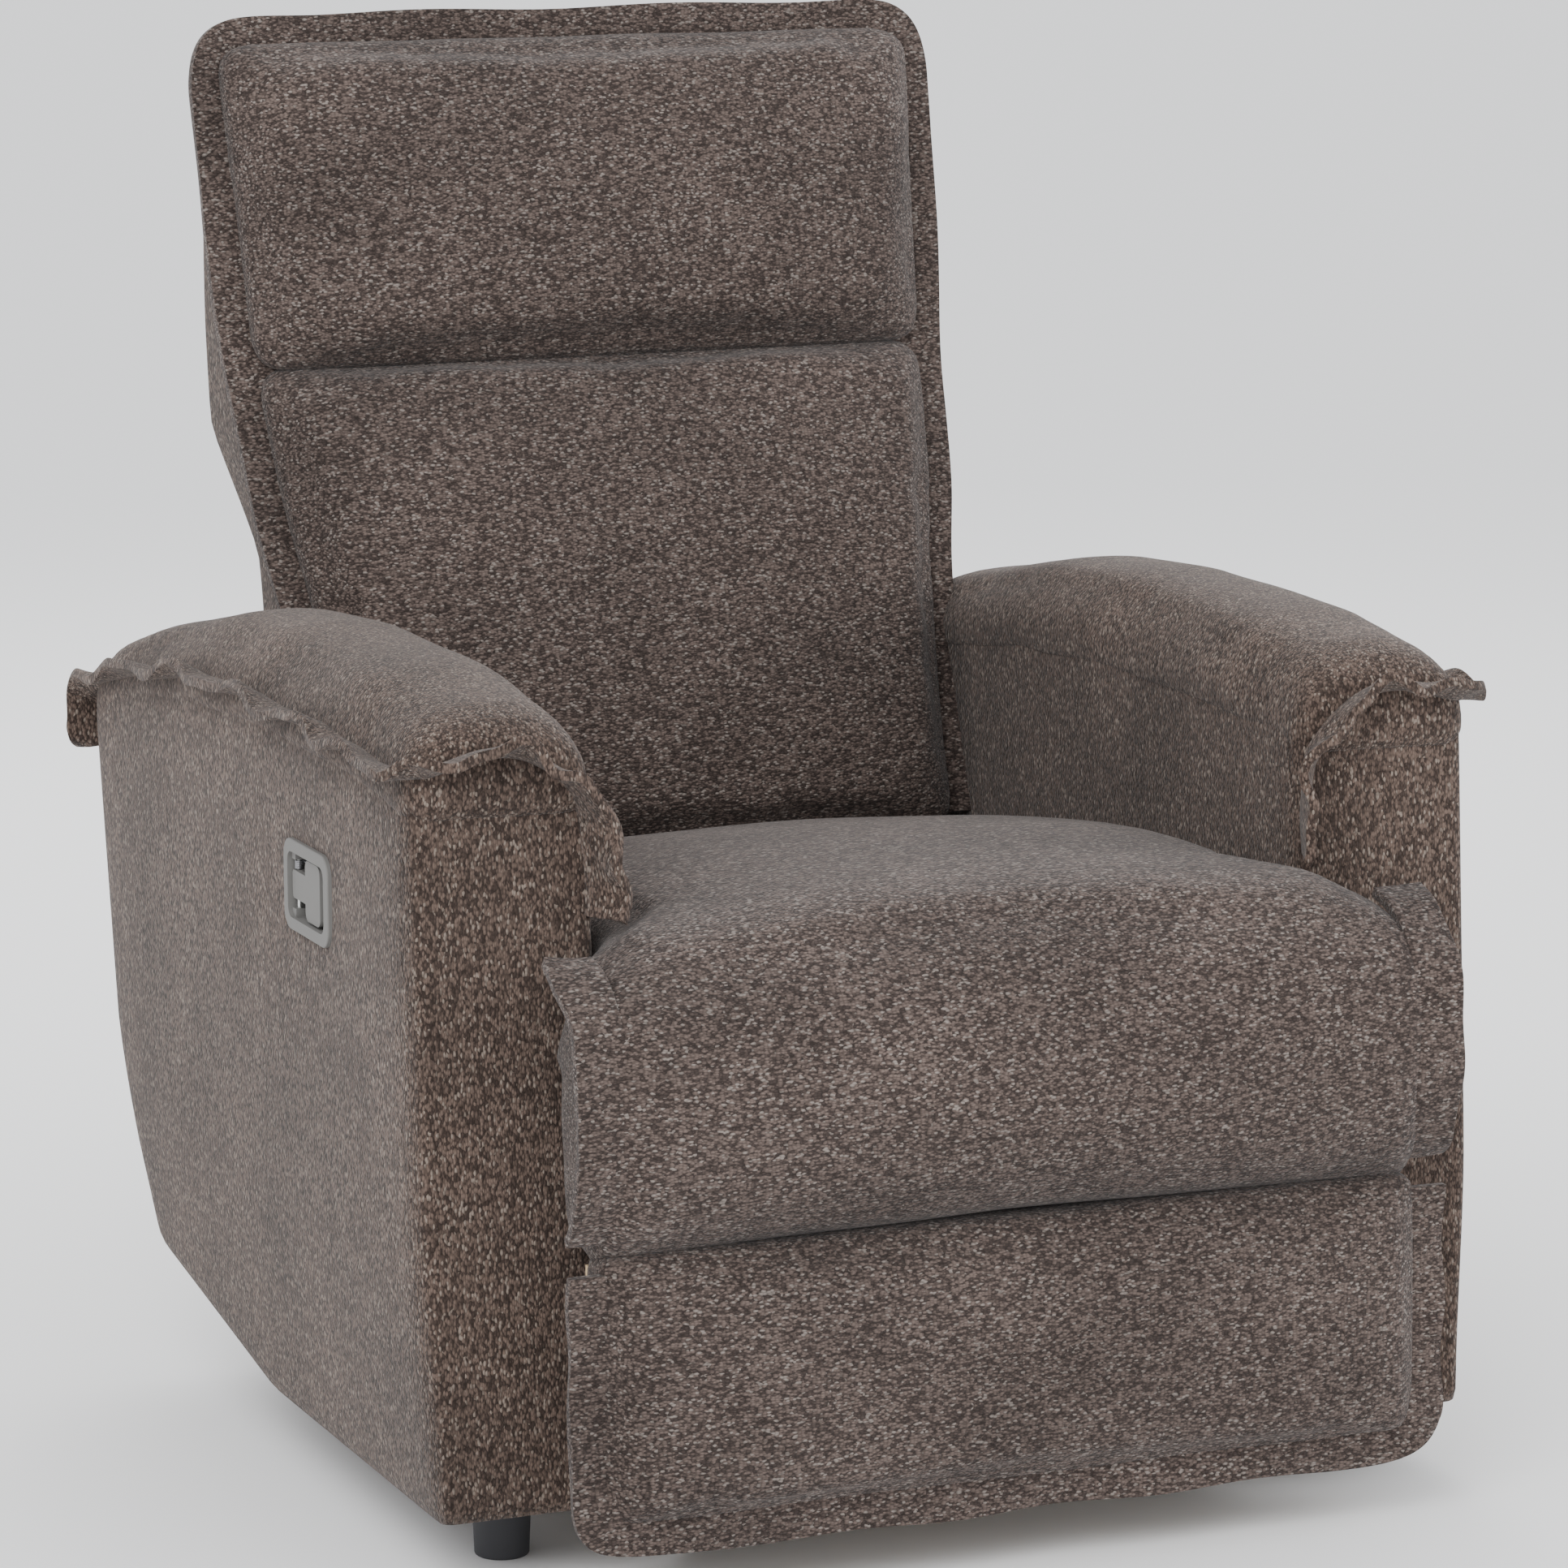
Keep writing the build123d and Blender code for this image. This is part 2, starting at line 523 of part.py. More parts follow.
RAIL_UP = {"bottom": 45, "middle": 430, "top": STILE_LENGTH - 45}
for rail in RAIL_UP:
    with BuildPart() as back_rail:
        back_block(-STILE_X[0], STILE_X[0], -11, 11, RAIL_UP[rail], RAIL_UP[rail] + 45)
    save(back_rail, f"back_{rail}_rail")

with BuildPart() as back_springs:
    for spring_x in (-150, -50, 50, 150):
        steps = 11
        low_up, high_up = RAIL_UP["bottom"] + 20, RAIL_UP["middle"] + 25
        pitch = (high_up - low_up) / steps
        points = [BACK_PLANE.from_local_coords((spring_x, -14, low_up - 4))]
        for step in range(steps):
            reach = 26 if step % 2 else -26
            for offset_up in (4, pitch - 4):
                points.append(BACK_PLANE.from_local_coords((spring_x + reach, -14, low_up + pitch * step + offset_up)))
        points.append(BACK_PLANE.from_local_coords((spring_x, -14, high_up + 4)))
        points = [Vector(*point) for point in points]
        wire_spring(points, 7, points[1] - points[0])
save(back_springs, "back_springs")

with BuildPart() as back_brackets:
    for side_name, side in SIDES:
        with BuildSketch(slab(side, LAYER_OUTER, 0)[0]) as outline:
            Polygon((238, 312), (262, 308), (338, 330), (380, 520), (356, 524), (312, 360), (240, 334),
                    align=None)
            with Locations((RECLINE_Y, RECLINE_Z)):
                Circle(15)
                Circle(5, mode=Mode.SUBTRACT)
        extrude(outline.sketch, amount=side * LINK)
save(back_brackets, "back_brackets")

with BuildPart() as pivot_bolts:
    for side_name, side in SIDES:
        pin_x(side, (-RECLINE_Y, RECLINE_Z), 5, LAYER_OUTER, CARRIAGE_X + PLATE + 0.3)
        pin_x(side, (-RECLINE_Y, RECLINE_Z), 9, LAYER_OUTER - 5, LAYER_OUTER)
        pin_x(side, (-RECLINE_Y, RECLINE_Z), 8, CARRIAGE_X + PLATE + 0.3, CARRIAGE_X + PLATE + 5)
save(pivot_bolts, "recline_pivot_bolts")

with BuildPart() as bracket_screws:
    for side_name, side in SIDES:
        for screw_y, screw_z in ((340, 390), (348, 430), (356, 470), (364, 510)):
            pin_x(side, (-screw_y, screw_z), 5, LAYER_OUTER + LINK, LAYER_OUTER + LINK + 2.5)
save(bracket_screws, "back_bracket_screws")

with BuildPart() as lumbar_pad:
    with BuildSketch(Plane.YZ.offset(-HIGH_HALF - 20)):
        with BuildLine():
            ThreePointArc((224, 380), (250, 580), (350, HEAD_SEAM - 3))
            Polyline((350, HEAD_SEAM - 3), (383, HEAD_SEAM - 3), (304, 394), (292, 380), (224, 380))
        make_face()
    extrude(amount=2 * HIGH_HALF + 40)
    with BuildSketch(Plane.XZ.offset(-REAR)):
        back_front_view(SEAT_HALF, HIGH_HALF + 10)
    extrude(amount=300, mode=Mode.INTERSECT)
save(lumbar_pad, "lumbar_pad")

with BuildPart() as headrest_pad:
    with BuildSketch(Plane.YZ.offset(-HIGH_HALF - 24)):
        with BuildLine():
            ThreePointArc((352, HEAD_SEAM), (345, 860), (412, 1005))
            Polyline((412, 1005), (432, BACK_TOP), (448, 1008), (442, CASING_TOP + 1),
                     (431, CASING_TOP + 1), (385, HEAD_SEAM), (352, HEAD_SEAM))
        make_face()
    extrude(amount=2 * HIGH_HALF + 48)
save(headrest_pad, "headrest_pad")

# ---- release handle --------------------------------------------------------------------------
WALL = 2.5                # moulded wall of the handle plate's pocket
POCKET_DEPTH = 26
PIN_Y, PIN_X = LEVER_Y + 33, -ARM_OUTER + 3
KNUCKLE = 20              # height of the flap's hinge knuckle
BOSS_Z = (17.5, 25)       # bosses that hold the pin, above and below the middle
with BuildPart() as handle_plate:
    with BuildSketch(Plane.YZ.offset(-ARM_OUTER - 0.2)):
        with Locations((LEVER_Y, LEVER_Z)):
            RectangleRounded(LEVER_W, LEVER_H, 14)
    extrude(amount=-3.5)
    fillet(handle_plate.faces().sort_by(Axis.X)[0].edges(), 1.2)
    block(-ARM_OUTER - 0.2, -ARM_OUTER + POCKET_DEPTH, LEVER_Y - POCKET_W / 2 + 0.3, LEVER_Y + POCKET_W / 2 - 0.3,
          LEVER_Z - POCKET_H / 2 + 0.3, LEVER_Z + POCKET_H / 2 - 0.3)
    with BuildSketch(Plane.YZ.offset(-ARM_OUTER + POCKET_DEPTH - WALL)):
        with Locations((LEVER_Y, LEVER_Z)):
            RectangleRounded(POCKET_W - 2 * WALL, POCKET_H - 2 * WALL, 8)
    extrude(amount=-60, mode=Mode.SUBTRACT)
    for end in (1, -1):
        block(PIN_X - 4, PIN_X + 4, PIN_Y - 4, PIN_Y + 4, LEVER_Z + end * BOSS_Z[0], LEVER_Z + end * BOSS_Z[1])
    with Locations((PIN_X, PIN_Y, LEVER_Z)):
        Cylinder(1.5, 2 * BOSS_Z[1] - 4, mode=Mode.SUBTRACT)
save(handle_plate, "handle_plate")

with BuildPart() as handle_flap:
    with BuildSketch(Plane.YZ.offset(-ARM_OUTER - 1)):
        with Locations((LEVER_Y + 20, LEVER_Z)):
            RectangleRounded(32, 20, 3)
        with Locations((LEVER_Y - 8, LEVER_Z)):
            RectangleRounded(32, 43, 6)
    extrude(amount=4)
    with Locations((PIN_X, PIN_Y, LEVER_Z)):
        Box(7, 6, KNUCKLE)
    with Locations((PIN_X, PIN_Y, LEVER_Z)):
        Cylinder(1.5 + RUNNING_GAP, 40, mode=Mode.SUBTRACT)
save(handle_flap, "handle_flap")

with BuildPart() as handle_pin:
    with Locations((PIN_X, PIN_Y, LEVER_Z)):
        Cylinder(1.5, 2 * BOSS_Z[1] - 4)
save(handle_pin, "handle_pin")

COIL_WIRE = 0.55
with BuildPart() as handle_spring:
    for turn in range(6):
        with Locations((PIN_X, PIN_Y, LEVER_Z + KNUCKLE / 2 + 1 + turn)):
            Torus(1.5 + 2 * COIL_WIRE, COIL_WIRE)
    with Locations((PIN_X + 2.6, PIN_Y - 5, LEVER_Z + KNUCKLE / 2 + 6)):
        Box(1, 10, 1)
save(handle_spring, "handle_spring")

# ---- release cable and latch -----------------------------------------------------------------
LATCH_X = -150
LATCH_PIVOT = (254, 121)
CABLE_X = -331            # the cable's drop between the arm boards
CABLE_ROUTE = [(-ARM_OUTER + POCKET_DEPTH + 0.2, LEVER_Y, LEVER_Z), (CABLE_X, LEVER_Y, LEVER_Z),
               (CABLE_X, -200, 290), (CABLE_X, CABLE_Y, CABLE_Z), (LATCH_X - 9, CABLE_Y, CABLE_Z)]
CABLE_BENDS = [32, 180, 48]
with BuildPart() as release_cable:
    with BuildLine() as cable_line:
        FilletPolyline(*CABLE_ROUTE, radius=CABLE_BENDS)
    with BuildSketch(Plane(origin=CABLE_ROUTE[0], z_dir=(1, 0, 0))):
        Circle(CABLE_R)
    sweep(path=cable_line.wires()[0])
save(release_cable, "release_cable")
print("cable bends", CABLE_BENDS, "length", round(cable_line.wires()[0].length, 1),
      "volume ratio", round(release_cable.part.volume / (math.pi * CABLE_R**2 * cable_line.wires()[0].length), 4))

with BuildPart() as latch_bracket:
    stretcher_face = STRETCHER_Y["front"][0]
    block(LATCH_X - 12, LATCH_X - 9, stretcher_face - 22, stretcher_face, 84, 158)
    block(LATCH_X - 12, LATCH_X + 22, stretcher_face - 3, stretcher_face, 84, 112)
    hole_x(CABLE_R + 0.3, CABLE_Y, CABLE_Z, LATCH_X - 20, LATCH_X)
    pin_x(1, LATCH_PIVOT, 3, LATCH_X - 9, LATCH_X - 1)
save(latch_bracket, "latch_bracket")

with BuildPart() as latch_pawl:
    with BuildSketch(Plane.YZ.offset(LATCH_X - 6)) as outline:
        Polygon((-251, 113), (-262, 117), (-281, 134), (-281, 139), (-268, 139), (-250, 130), align=None)
        with Locations((-LATCH_PIVOT[0], LATCH_PIVOT[1])):
            Circle(9)
            Circle(3 + RUNNING_GAP, mode=Mode.SUBTRACT)
    extrude(outline.sketch, amount=LINK)
save(latch_pawl, "latch_pawl")
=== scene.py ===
"""Looks of a manual recliner armchair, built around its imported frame.

Each piece of upholstery is one operator.  Lengths in this file are metres in the frame's axes:
the sitter faces -Y, the handle is at -X, and the floor is Z = 0.
"""
import json
import math

import bpy
from bpy.props import FloatProperty, FloatVectorProperty, PointerProperty
from mathutils import Matrix, Vector, noise


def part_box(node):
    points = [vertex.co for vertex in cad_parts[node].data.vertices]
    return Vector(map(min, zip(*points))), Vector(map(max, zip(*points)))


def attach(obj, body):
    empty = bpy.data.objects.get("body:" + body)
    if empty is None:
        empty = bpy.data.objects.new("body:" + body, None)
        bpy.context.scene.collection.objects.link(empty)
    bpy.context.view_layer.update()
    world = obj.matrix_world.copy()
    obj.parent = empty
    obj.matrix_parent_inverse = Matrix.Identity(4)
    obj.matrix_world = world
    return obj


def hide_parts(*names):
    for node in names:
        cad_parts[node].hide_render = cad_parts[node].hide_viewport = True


bl_info = {
    "name": "Recliner armchair",
    "version": (1, 0, 0),
    "blender": (4, 5, 0),
    "location": "View3D > Sidebar > Recliner",
    "description": "Upholstery, hardware finishes and stage of a recliner armchair",
    "category": "Object",
}

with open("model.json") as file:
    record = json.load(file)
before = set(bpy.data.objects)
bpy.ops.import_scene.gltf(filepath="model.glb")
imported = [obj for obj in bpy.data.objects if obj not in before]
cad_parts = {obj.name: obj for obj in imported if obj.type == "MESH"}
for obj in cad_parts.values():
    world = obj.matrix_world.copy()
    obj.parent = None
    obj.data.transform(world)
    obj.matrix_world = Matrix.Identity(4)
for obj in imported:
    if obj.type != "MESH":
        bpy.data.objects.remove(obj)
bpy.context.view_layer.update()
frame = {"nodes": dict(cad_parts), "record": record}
MM = 0.001
SIDES = (("left", 1), ("right", -1))

# Side view of the back as (z, y) in millimetres: plane of the front flange, and the casing's rear.
BACK_PLANE = [(375, 226), (480, 264), (565, 298), (650, 332), (750, 370), (850, 393), (950, 413), (1015, 428)]
BACK_SEAM_HALF = [(375, 243), (480, 247), (590, 256), (660, 268), (752, 275), (850, 280), (1015, 286)]
CASING_REAR = [(277, 354), (400, 393), (548, 439), (682, 466), (776, 473), (899, 473)]
CASING_FRONT = [(277, 281), (400, 310), (548, 342), (682, 372), (776, 393), (899, 432)]
CASING_HALF = [(277, 251), (600, 251), (700, 283), (899, 283)]
# Side view of the seat: upper skin from the back, over the roll and down to the split, and its lining.
SEAT_SKIN = [(211, 384), (140, 404), (40, 426), (-80, 446), (-200, 459), (-310, 462), (-385, 457),
             (-432, 438), (-462, 400), (-472, 350), (-466, 302), (-452, 264), (-424, 247.5)]
SEAT_LINING = [(208, 356), (140, 356), (40, 356), (-80, 356), (-180, 356), (-260, 356), (-330, 356),
               (-352, 352), (-358, 345), (-359, 330), (-359, 305), (-359, 280), (-360, 249)]
SEAT_SPAN = [253, 253, 253, 253, 253, 253, 296, 303, 306, 307, 306, 305, 302]
# Side view of an arm: front and rear edges as (z, y), underside and flange line as (y, z).
ARM_FRONT = [(50, -357), (560, -328)]
ARM_REAR = [(98, 297), (170, 335), (258, 371), (382, 394), (500, 416)]
ARM_UNDER = [(-360, 48), (20, 48), (296, 95), (420, 117)]
ARM_SEAM = [(-340, 548), (-275, 555), (-173, 562), (36, 560), (146, 554), (269, 538), (369, 518), (420, 494)]
ARM_CROWN = [(-345, 578), (-300, 594), (-200, 606), (0, 608), (132, 598), (300, 566), (384, 540), (422, 518)]


def level(table, at):
    """Value of a table of (place, value) at a place, straight between its entries."""
    if at <= table[0][0]:
        return table[0][1]
    for (low, low_value), (high, high_value) in zip(table, table[1:]):
        if at <= high:
            part = (at - low) / (high - low)
            return low_value + (high_value - low_value) * part
    return table[-1][1]


def run(points, part):
    """Point at a part (0 to 1) of a smooth line through evenly counted points."""
    count = len(points) - 1
    place = min(max(part, 0.0), 1.0) * count
    index = min(int(place), count - 1)
    t = place - index
    p0, p1 = points[max(index - 1, 0)], points[index]
    p2, p3 = points[index + 1], points[min(index + 2, count)]
    return tuple(
        0.5 * (2 * b + (c - a) * t + (2 * a - 5 * b + 4 * c - d) * t * t + (3 * b - a - 3 * c + d) * t ** 3)
        for a, b, c, d in zip(p0, p1, p2, p3))


def mix(a, b, part):
    return a + (b - a) * part


def ease(low, high, value):
    part = min(max((value - low) / (high - low), 0.0), 1.0)
    return part * part * (3 - 2 * part)


# ---- modelling -------------------------------------------------------------------------------
def start_alone():
    if bpy.context.object and bpy.context.object.mode != "OBJECT":
        bpy.ops.object.mode_set(mode="OBJECT")
    bpy.ops.object.select_all(action="DESELECT")


def named(name):
    piece = bpy.context.object
    piece.name = name
    piece.data.name = name
    return piece


def finish_modifiers(piece):
    bpy.context.view_layer.objects.active = piece
    for modifier in list(piece.modifiers):
        bpy.ops.object.modifier_apply(modifier=modifier.name)


def block_piece(name, cuts, place):
    """Subdivided cube whose points, each from -1 to 1 on three axes, are set by place, in mm."""
    start_alone()
    bpy.ops.mesh.primitive_cube_add(size=2)
    bpy.ops.object.mode_set(mode="EDIT")
    bpy.ops.mesh.select_all(action="SELECT")
    bpy.ops.mesh.subdivide(number_cuts=cuts)
    bpy.ops.object.mode_set(mode="OBJECT")
    piece = named(name)
    for vertex in piece.data.vertices:
        vertex.co = Vector(place(*vertex.co)) * MM
    bpy.ops.object.mode_set(mode="EDIT")
    bpy.ops.mesh.select_all(action="SELECT")
    bpy.ops.mesh.normals_make_consistent(inside=False)
    bpy.ops.object.mode_set(mode="OBJECT")
    return piece


def grid_piece(name, along, across, place):
    """Grid whose points, each from 0 to 1 along and across, are set by place, in mm."""
    start_alone()
    bpy.ops.mesh.primitive_grid_add(x_subdivisions=along, y_subdivisions=across, size=2)
    piece = named(name)
    for vertex in piece.data.vertices:
        vertex.co = Vector(place(vertex.co.x / 2 + 0.5, vertex.co.y / 2 + 0.5)) * MM
    return piece


def rounded(a, b, c, half, radius):
    """Point of the -1 to 1 cube moved onto a block with rounded edges, still from -1 to 1."""
    point = [a * half[0], b * half[1], c * half[2]]
    core = [min(max(p, -(h - radius)), h - radius) for p, h in zip(point, half)]
    away = [p - q for p, q in zip(point, core)]
    reach = math.sqrt(sum(d * d for d in away))
    if reach > 1e-9:
        point = [q + d * radius / reach for q, d in zip(core, away)]
    return [p / h for p, h in zip(point, half)]


def puff(piece, cap, pressure=4.0, voxel=0.006, frames=20):
    """Blow a closed pad up as cloth, each point moving outward by no more than cap."""
    start_alone()
    piece.select_set(True)
    bpy.context.view_layer.objects.active = piece
    remesh = piece.modifiers.new("Remesh", "REMESH")
    remesh.mode = "VOXEL"
    remesh.voxel_size = voxel
    bpy.ops.object.modifier_apply(modifier=remesh.name)
    before = [(vertex.co.copy(), vertex.normal.copy()) for vertex in piece.data.vertices]
    cloth = piece.modifiers.new("Cloth", "CLOTH")
    cloth.settings.quality = 5
    cloth.settings.mass = 0.3
    cloth.settings.tension_stiffness = 15
    cloth.settings.compression_stiffness = 15
    cloth.settings.use_pressure = True
    cloth.settings.uniform_pressure_force = pressure
    cloth.settings.effector_weights.gravity = 0
    cloth.point_cache.frame_start = 1
    cloth.point_cache.frame_end = frames
    scene = bpy.context.scene
    for number in range(1, frames + 1):
        scene.frame_set(number)
    bpy.ops.object.modifier_apply(modifier=cloth.name)
    scene.frame_set(1)
    for vertex, (start, normal) in zip(piece.data.vertices, before):
        swelling = min(max((vertex.co - start).dot(normal), 0.0), cap)
        vertex.co = start + normal * swelling
    return piece


def smooth_skin(piece, steps=4, factor=0.5):
    modifier = piece.modifiers.new("Smooth", "SMOOTH")
    modifier.iterations = steps
    modifier.factor = factor
    finish_modifiers(piece)
    piece.data.shade_smooth()
    return piece


def pucker(piece, size, scale, keep=None):
    """Soft unevenness of filled fabric."""
    normals = [vertex.normal.copy() for vertex in piece.data.vertices]
    for vertex, normal in zip(piece.data.vertices, normals):
        amount = noise.noise(vertex.co * scale) * size
        if keep:
            amount *= keep(vertex.co / MM)
        vertex.co += normal * amount * MM


def ribbon(name, stations, width, wave, turns, thickness=5.0, seed=0.0, tuck=3.0):
    """Sewn flange with a wavy free edge, tucked in behind its seam.

    Its stations are pairs of a point on the seam and a direction outward.
    """
    points = [point for point, outward in stations]
    outwards = [outward for point, outward in stations]
    count = (len(stations) - 1) * 14

    def place(along, across):
        here = Vector(run(points, along))
        ahead = Vector(run(points, min(along + 0.004, 1.0))) - Vector(run(points, max(along - 0.004, 0.0)))
        out = Vector(run(outwards, along)).normalized()
        lift = ahead.normalized().cross(out).normalized()
        phase = along * turns * 2 * math.pi
        swing = math.sin(phase + seed) + 0.55 * math.sin(1.73 * phase + 2.1 * seed + 1.0)
        reach = width * (1 + 0.05 * math.sin(1.31 * phase + seed))
        free = max(0.0, (across * (reach + tuck) - tuck) / reach)
        return here + out * (across * (reach + tuck) - tuck) + lift * (swing * wave * free ** 1.3)

    piece = grid_piece(name, count, 6, place)
    solid = piece.modifiers.new("Thickness", "SOLIDIFY")
    solid.thickness = thickness * MM
    solid.offset = 0
    bevel = piece.modifiers.new("Edge", "BEVEL")
    bevel.width = thickness * 0.35 * MM
    bevel.segments = 2
    bevel.limit_method = "ANGLE"
    finish_modifiers(piece)
    piece.data.shade_smooth()
    return piece


# ---- finishes --------------------------------------------------------------------------------
def new_group(name, inputs, outputs):
    group = bpy.data.node_groups.new(name, "ShaderNodeTree")
    for label, kind, value in inputs:
        socket = group.interface.new_socket(label, in_out="INPUT", socket_type=kind)
        socket.default_value = value
    for label, kind in outputs:
        group.interface.new_socket(label, in_out="OUTPUT", socket_type=kind)
    return group, group.nodes.new("NodeGroupInput"), group.nodes.new("NodeGroupOutput")


def chenille_group():
    """Mixed-yarn chenille: knobbly yarns in dark, middle and pale shades, with soft mottling."""
    group, given, result = new_group(
        "Chenille", [("Vector", "NodeSocketVector", (0, 0, 0)), ("Dark", "NodeSocketColor", (0, 0, 0, 1)),
                     ("Middle", "NodeSocketColor", (0, 0, 0, 1)), ("Pale", "NodeSocketColor", (0, 0, 0, 1)),
                     ("Yarns", "NodeSocketFloat", 400.0)],
        [("Colour", "NodeSocketColor"), ("Height", "NodeSocketFloat"), ("Roughness", "NodeSocketFloat")])
    add, join = group.nodes.new, group.links.new
    yarn = add("ShaderNodeTexVoronoi")
    yarn.feature = "F1"
    join(given.outputs["Vector"], yarn.inputs["Vector"])
    join(given.outputs["Yarns"], yarn.inputs["Scale"])
    shade = add("ShaderNodeSeparateColor")
    join(yarn.outputs["Color"], shade.inputs["Color"])
    ramp = add("ShaderNodeValToRGB")
    ramp.color_ramp.elements[0].position = 0.30
    ramp.color_ramp.elements[1].position = 0.72
    join(shade.outputs["Red"], ramp.inputs["Fac"])
    first = add("ShaderNodeMix")
    first.data_type = "RGBA"
    join(ramp.outputs["Color"], first.inputs["Factor"])
    join(given.outputs["Dark"], first.inputs["A"])
    join(given.outputs["Middle"], first.inputs["B"])
    fleck = add("ShaderNodeMath")
    fleck.operation = "GREATER_THAN"
    fleck.inputs[1].default_value = 0.90
    join(shade.outputs["Green"], fleck.inputs[0])
    flecked = add("ShaderNodeMix")
    flecked.data_type = "RGBA"
    join(fleck.outputs["Value"], flecked.inputs["Factor"])
    join(first.outputs["Result"], flecked.inputs["A"])
    join(given.outputs["Pale"], flecked.inputs["B"])
    gap = add("ShaderNodeMapRange")
    gap.inputs["From Min"].default_value = 0.25
    gap.inputs["From Max"].default_value = 0.75
    gap.inputs["To Min"].default_value = 1.0
    gap.inputs["To Max"].default_value = 0.50
    join(yarn.outputs["Distance"], gap.inputs["Value"])
    mottle = add("ShaderNodeTexNoise")
    mottle.inputs["Scale"].default_value = 9.0
    mottle.inputs["Detail"].default_value = 4.0
    join(given.outputs["Vector"], mottle.inputs["Vector"])
    tone = add("ShaderNodeMapRange")
    tone.inputs["From Min"].default_value = 0.3
    tone.inputs["From Max"].default_value = 0.7
    tone.inputs["To Min"].default_value = 0.80
    tone.inputs["To Max"].default_value = 1.18
    join(mottle.outputs["Fac"], tone.inputs["Value"])
    dim = add("ShaderNodeMath")
    dim.operation = "MULTIPLY"
    join(gap.outputs["Result"], dim.inputs[0])
    join(tone.outputs["Result"], dim.inputs[1])
    colour = add("ShaderNodeVectorMath")
    colour.operation = "SCALE"
    join(flecked.outputs["Result"], colour.inputs[0])
    join(dim.outputs["Value"], colour.inputs["Scale"])
    join(colour.outputs["Vector"], result.inputs["Colour"])
    fuzz = add("ShaderNodeTexNoise")
    fuzz.inputs["Scale"].default_value = 900.0
    join(given.outputs["Vector"], fuzz.inputs["Vector"])
    height = add("ShaderNodeMath")
    height.operation = "MULTIPLY_ADD"
    height.inputs[1].default_value = 0.35
    join(fuzz.outputs["Fac"], height.inputs[0])
    join(gap.outputs["Result"], height.inputs[2])
    join(height.outputs["Value"], result.inputs["Height"])
    rough = add("ShaderNodeMapRange")
    rough.inputs["To Min"].default_value = 0.98
    rough.inputs["To Max"].default_value = 0.86
    join(gap.outputs["Result"], rough.inputs["Value"])
    join(rough.outputs["Result"], result.inputs["Roughness"])
    return group


def grain_group():
    """Fine surface variation of metal, moulded plastic or timber, stretched by its vector."""
    group, given, result = new_group(
        "Grain", [("Vector", "NodeSocketVector", (0, 0, 0)), ("Base", "NodeSocketColor", (1, 1, 1, 1)),
                  ("Scale", "NodeSocketFloat", 100.0), ("Spread", "NodeSocketFloat", 0.15),
                  ("Gloss", "NodeSocketFloat", 0.5)],
        [("Colour", "NodeSocketColor"), ("Height", "NodeSocketFloat"), ("Roughness", "NodeSocketFloat")])
    add, join = group.nodes.new, group.links.new
    speck = add("ShaderNodeTexNoise")
    speck.inputs["Detail"].default_value = 6.0
    join(given.outputs["Vector"], speck.inputs["Vector"])
    join(given.outputs["Scale"], speck.inputs["Scale"])
    swing = add("ShaderNodeMath")
    swing.operation = "SUBTRACT"
    swing.inputs[1].default_value = 0.5
    join(speck.outputs["Fac"], swing.inputs[0])
    sized = add("ShaderNodeMath")
    sized.operation = "MULTIPLY"
    join(swing.outputs["Value"], sized.inputs[0])
    join(given.outputs["Spread"], sized.inputs[1])
    factor = add("ShaderNodeMath")
    factor.operation = "MULTIPLY_ADD"
    factor.inputs[1].default_value = 4.0
    factor.inputs[2].default_value = 1.0
    join(sized.outputs["Value"], factor.inputs[0])
    colour = add("ShaderNodeVectorMath")
    colour.operation = "SCALE"
    join(given.outputs["Base"], colour.inputs[0])
    join(factor.outputs["Value"], colour.inputs["Scale"])
    join(colour.outputs["Vector"], result.inputs["Colour"])
    join(speck.outputs["Fac"], result.inputs["Height"])
    rough = add("ShaderNodeMath")
    rough.operation = "ADD"
    join(sized.outputs["Value"], rough.inputs[0])
    join(given.outputs["Gloss"], rough.inputs[1])
    join(rough.outputs["Value"], result.inputs["Roughness"])
    return group


def material_base(name, group, stretch):
    """Material with a shader and one group placed on stretched object coordinates."""
    material = bpy.data.materials.new(name)
    material.use_nodes = True
    nodes, links = material.node_tree.nodes, material.node_tree.links
    shader = nodes["Principled BSDF"]
    coords = nodes.new("ShaderNodeTexCoord")
    mapping = nodes.new("ShaderNodeMapping")
    mapping.inputs["Scale"].default_value = stretch
    effect = nodes.new("ShaderNodeGroup")
    effect.node_tree = group
    bump = nodes.new("ShaderNodeBump")
    links.new(coords.outputs["Object"], mapping.inputs["Vector"])
    links.new(mapping.outputs["Vector"], effect.inputs["Vector"])
    links.new(effect.outputs["Colour"], shader.inputs["Base Color"])
    links.new(effect.outputs["Roughness"], shader.inputs["Roughness"])
    links.new(effect.outputs["Height"], bump.inputs["Height"])
    links.new(bump.outputs["Normal"], shader.inputs["Normal"])
    return material, shader, effect, bump


def fabric(name, stretch, painted_light_tint):
    settings = bpy.context.scene.recliner
    material, shader, effect, bump = material_base(name, bpy.data.node_groups["Chenille"], stretch)
    yarns = {"Dark": settings.dark_yarn, "Middle": settings.middle_yarn, "Pale": settings.pale_yarn}
    for label, colour in yarns.items():
        # Yarn colours are scaled by the last argument: on the upright copy this is painted light colour, a
        # warmer tint matching how light colours upright faces, though the fabric is one colour throughout.
        effect.inputs[label].default_value = [c * w for c, w in zip(colour, painted_light_tint)] + [1]
    effect.inputs["Yarns"].default_value = 1.0 / settings.yarn
    bump.inputs["Strength"].default_value = 0.9
    bump.inputs["Distance"].default_value = 0.0010
    shader.inputs["Sheen Weight"].default_value = 0.12
    shader.inputs["Sheen Roughness"].default_value = 0.45
    shader.inputs["Specular IOR Level"].default_value = 0.15
    return material


